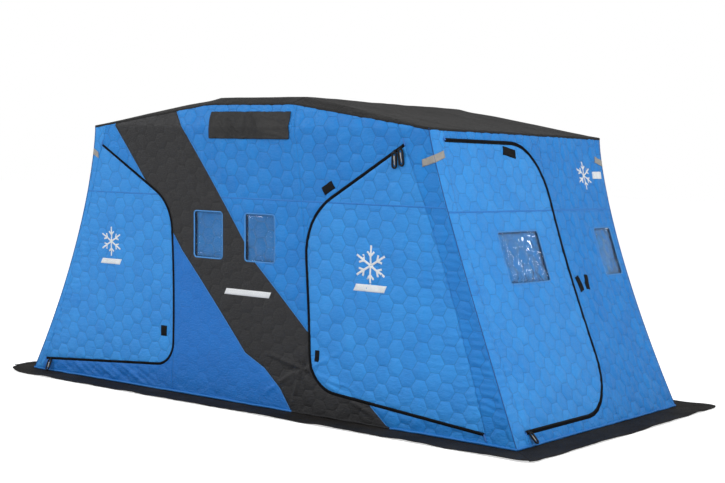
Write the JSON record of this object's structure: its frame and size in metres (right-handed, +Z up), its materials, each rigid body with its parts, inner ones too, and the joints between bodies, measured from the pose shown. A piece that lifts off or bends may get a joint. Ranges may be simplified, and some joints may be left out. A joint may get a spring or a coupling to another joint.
{
  "type": "insulated ice fishing hut",
  "caption": "Bus-shaped insulated fabric ice fishing hut on a pole frame, with zipped front and end doors, clear windows, a vent flap, a crested roof and a snow skirt.",
  "frame": {"origin": "middle of the hut on the ground", "axes": "+X along the length towards the end wall with the door, +Y across towards the rear long wall, +Z up; the front long wall with two doors faces -Y"},
  "size_m": [4.72, 2.524, 2.03],
  "materials": {
    "blue_quilt": "quilted insulated cloth, satin",
    "charcoal_cloth": "quilted insulated cloth, satin",
    "roof_cloth": "coated woven cloth, dull",
    "skirt_cloth": "coated woven cloth, dull",
    "clear_vinyl": "clear flexible sheet",
    "zip_tape": "woven tape with coil zip",
    "reflective_cloth": "grey retroreflective cloth",
    "pole": "drawn tube, satin",
    "fitting": "moulded, fine texture"
  },
  "bodies": {
    "hut": {"front_left_corner": "blue_quilt", "front_left_sill": "blue_quilt", "front_over_left_door": "blue_quilt", "front_lower_panel": "blue_quilt", "front_stripe": "charcoal_cloth", "front_upper_panel": "blue_quilt", "front_over_right_door": "blue_quilt", "front_right_sill": "blue_quilt", "front_right_corner": "blue_quilt", "front_windows": "clear_vinyl", "front_vent_flap": "charcoal_cloth", "rear_left_panel": "blue_quilt", "rear_stripe": "charcoal_cloth", "rear_right_panel": "blue_quilt", "rear_windows": "clear_vinyl", "rear_vent_flap": "charcoal_cloth", "left_end_wall": "blue_quilt", "left_end_windows": "clear_vinyl", "right_end_corner": "blue_quilt", "right_end_sill": "blue_quilt", "right_end_over_door": "blue_quilt", "right_end_panel": "blue_quilt", "right_end_window": "clear_vinyl", "roof_crest": "roof_cloth", "roof_panel_left": "roof_cloth", "roof_panel_right": "roof_cloth", "roof_gussets": "roof_cloth", "skirt_front": "skirt_cloth", "skirt_rear": "skirt_cloth", "skirt_left": "skirt_cloth", "skirt_right": "skirt_cloth", "wall_trim": "zip_tape", "door_folds": "blue_quilt", "reflective_patches": "reflective_cloth", "corner_poles": "pole", "roof_bars": "pole", "crest_bars": "pole", "hub_fittings": "fitting", "pole_feet": "fitting"},
    "front_left_door": {"front_left_door": "blue_quilt", "front_left_door_trim": "zip_tape"},
    "front_right_door": {"front_right_door": "blue_quilt", "front_right_door_trim": "zip_tape"},
    "right_end_door": {"right_end_door": "blue_quilt", "right_end_door_window": "clear_vinyl", "right_end_door_trim": "zip_tape"}
  },
  "joints": [
    {"name": "front_left_door_hinge", "type": "hinge", "parent": "hut", "child": "front_left_door", "pos_m": [-1.99796, -1.02463, 0.093], "axis": [-0.3481, 0.0054, -0.9374], "range_deg": [0, 100]},
    {"name": "front_right_door_hinge", "type": "hinge", "parent": "hut", "child": "front_right_door", "pos_m": [1.90017, -1.02677, 0.066], "axis": [-0.3467, -0.0059, 0.9379], "range_deg": [0, 100]},
    {"name": "right_end_door_hinge", "type": "hinge", "parent": "hut", "child": "right_end_door", "pos_m": [2.09248, -0.88542, 0.083], "axis": [0.3435, 0.0084, -0.9391], "range_deg": [0, 100]}
  ]
}
